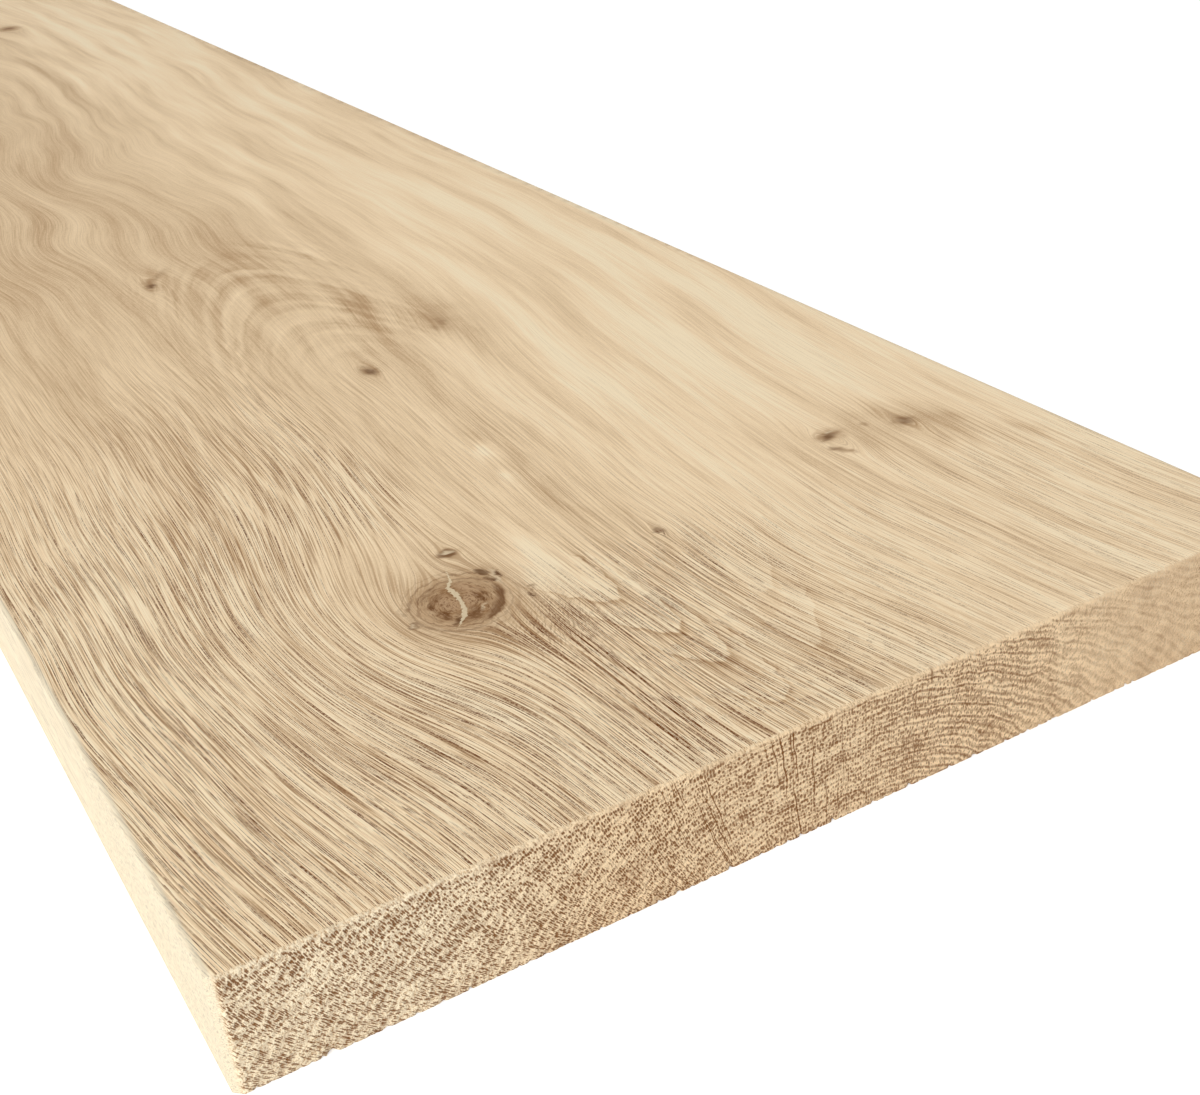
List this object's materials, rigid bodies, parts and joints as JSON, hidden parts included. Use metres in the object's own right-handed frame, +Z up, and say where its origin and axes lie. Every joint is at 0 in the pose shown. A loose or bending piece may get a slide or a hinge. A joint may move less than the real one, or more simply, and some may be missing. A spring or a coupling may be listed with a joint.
{
  "type": "window sill board",
  "caption": "Flat solid oak board for an interior window sill, planed show face, sawn ends, eased upper arrises and cut corners.",
  "frame": {"origin": "middle of the underside, on the surface that the board lies on", "axes": "+X along the board towards the end that the picture shows, +Y across it from the front edge to the back edge, +Z up through its thickness"},
  "size_m": [1.2, 0.25, 0.026],
  "materials": {
    "oak": "planed, bare"
  },
  "bodies": {
    "root": {"sill_board": "oak"}
  },
  "joints": []
}
